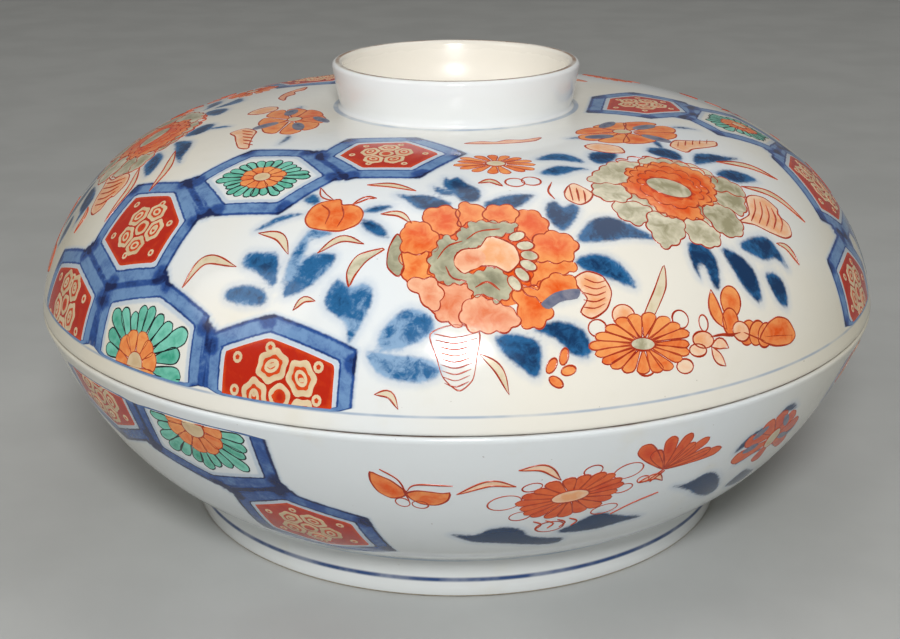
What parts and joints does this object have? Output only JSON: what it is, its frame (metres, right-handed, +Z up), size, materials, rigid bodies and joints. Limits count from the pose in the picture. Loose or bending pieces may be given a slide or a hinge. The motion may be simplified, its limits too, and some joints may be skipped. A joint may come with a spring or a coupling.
{
  "type": "rice bowl",
  "caption": "Round lidded porcelain rice bowl: a footed bowl and a low domed cover with a flared ring handle, painted all over with flowers and hexagon bands.",
  "frame": {"origin": "centre of the foot ring's resting plane", "axes": "+Z up along the axis of revolution; -Y towards the viewer, where the large flower on the lid sits"},
  "size_m": [0.24, 0.24, 0.1285],
  "materials": {
    "bowl_glaze": "gloss",
    "lid_glaze": "gloss"
  },
  "bodies": {
    "bowl": {"bowl": "bowl_glaze"},
    "lid": {"lid": "lid_glaze"}
  },
  "joints": [
    {"name": "lid_lift", "type": "slide", "parent": "bowl", "child": "lid", "axis": [0, 0, 1], "range_m": [0, 0.12]}
  ]
}
